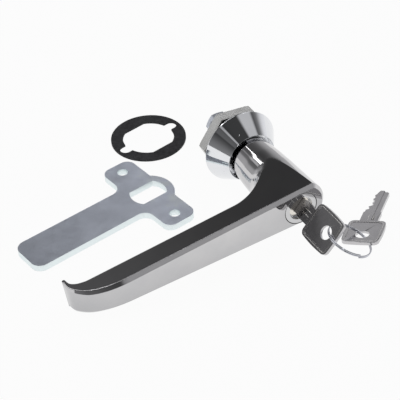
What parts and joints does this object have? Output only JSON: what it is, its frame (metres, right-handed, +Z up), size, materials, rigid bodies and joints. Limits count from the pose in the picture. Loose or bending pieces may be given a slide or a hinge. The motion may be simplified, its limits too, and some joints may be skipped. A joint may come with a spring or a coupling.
{
  "type": "lockable swing handle",
  "caption": "Chromed lever handle with a round collar, threaded tail, hex nut and keyed cylinder, beside its loose cam plate and sealing gasket, with a spare key on a split ring.",
  "frame": {"origin": "where the spindle axis meets the collar's back face, which seats on the panel", "axes": "+Y along the spindle toward the inside of the door, +Z up as it lies on a table, lever toward -X"},
  "size_m": [0.1943, 0.1921, 0.0444],
  "materials": {
    "chrome_shell": "bright chrome plate on a zinc die casting",
    "nut_steel": "satin zinc plate",
    "washer_plastic": "plain moulded acetal",
    "rubber_black": "smooth black rubber",
    "spring_steel": "bright spring steel",
    "zinc_steel": "bluish bright zinc plate",
    "chrome_face": "chrome plate with a turned face",
    "nickel_plug": "nickel plate",
    "wafer_brass": "stamped brass",
    "key_nickel": "nickel plate, dull in the recesses",
    "cam_zinc": "clear passivated zinc plate on sheet steel",
    "gasket_rubber": "matt black sheet rubber"
  },
  "bodies": {
    "collar_body": {"collar": "chrome_shell", "panel_nut": "nut_steel", "thrust_washer": "washer_plastic"},
    "handle_body": {"handle": "chrome_shell", "spindle_seal": "rubber_black", "retaining_ring": "spring_steel", "cam_washer": "zinc_steel", "spring_washer": "zinc_steel", "cam_screw": "zinc_steel", "cylinder_housing": "chrome_face", "housing_pin": "spring_steel"},
    "plug_body": {"plug": "nickel_plug", "wafers": "wafer_brass", "plug_clip": "spring_steel", "tailpiece": "zinc_steel"},
    "bolt_body": {"lock_bolt": "zinc_steel"},
    "key_body": {"key": "key_nickel"},
    "ring_body": {"split_ring": "spring_steel"},
    "spare_key_body": {"spare_key": "key_nickel"},
    "cam_plate_body": {"cam_plate": "cam_zinc"},
    "gasket_body": {"gasket": "gasket_rubber"}
  },
  "joints": [
    {"name": "handle_swing", "type": "hinge", "parent": "collar_body", "child": "handle_body", "pos_m": [0, 0, 0], "axis": [0, 1, 0], "range_deg": [0, 90]},
    {"name": "plug_turn", "type": "hinge", "parent": "handle_body", "child": "plug_body", "pos_m": [0, 0, 0], "axis": [0, -1, 0], "range_deg": [0, 90]},
    {"name": "bolt_slide", "type": "slide", "parent": "handle_body", "child": "bolt_body", "axis": [-0.788, 0, -0.6157], "range_m": [0, 0.00396]},
    {"name": "key_slide", "type": "slide", "parent": "plug_body", "child": "key_body", "axis": [0, -1, 0], "range_m": [-0.0025, 0.026]},
    {"name": "ring_swing", "type": "hinge", "parent": "key_body", "child": "ring_body", "pos_m": [0.00046, -0.0894, 0.00055], "axis": [-0.766, 0, 0.6428], "range_deg": [-15, 15]},
    {"name": "spare_key_swing", "type": "hinge", "parent": "ring_body", "child": "spare_key_body", "pos_m": [0.0207, -0.09266, -0.00803], "axis": [0.0069, 0.2392, 0.9709], "range_deg": [-15, 15]},
    {"name": "cam_plate_lift", "type": "slide", "parent": "collar_body", "child": "cam_plate_body", "axis": [0, 0, 1], "range_m": [0, 0.03]},
    {"name": "gasket_lift", "type": "slide", "parent": "collar_body", "child": "gasket_body", "axis": [0, 0, 1], "range_m": [0, 0.03]}
  ],
  "couplings": [
    {"joint": "bolt_slide", "follows": "plug_turn", "m_per_rad": 0.002521}
  ]
}
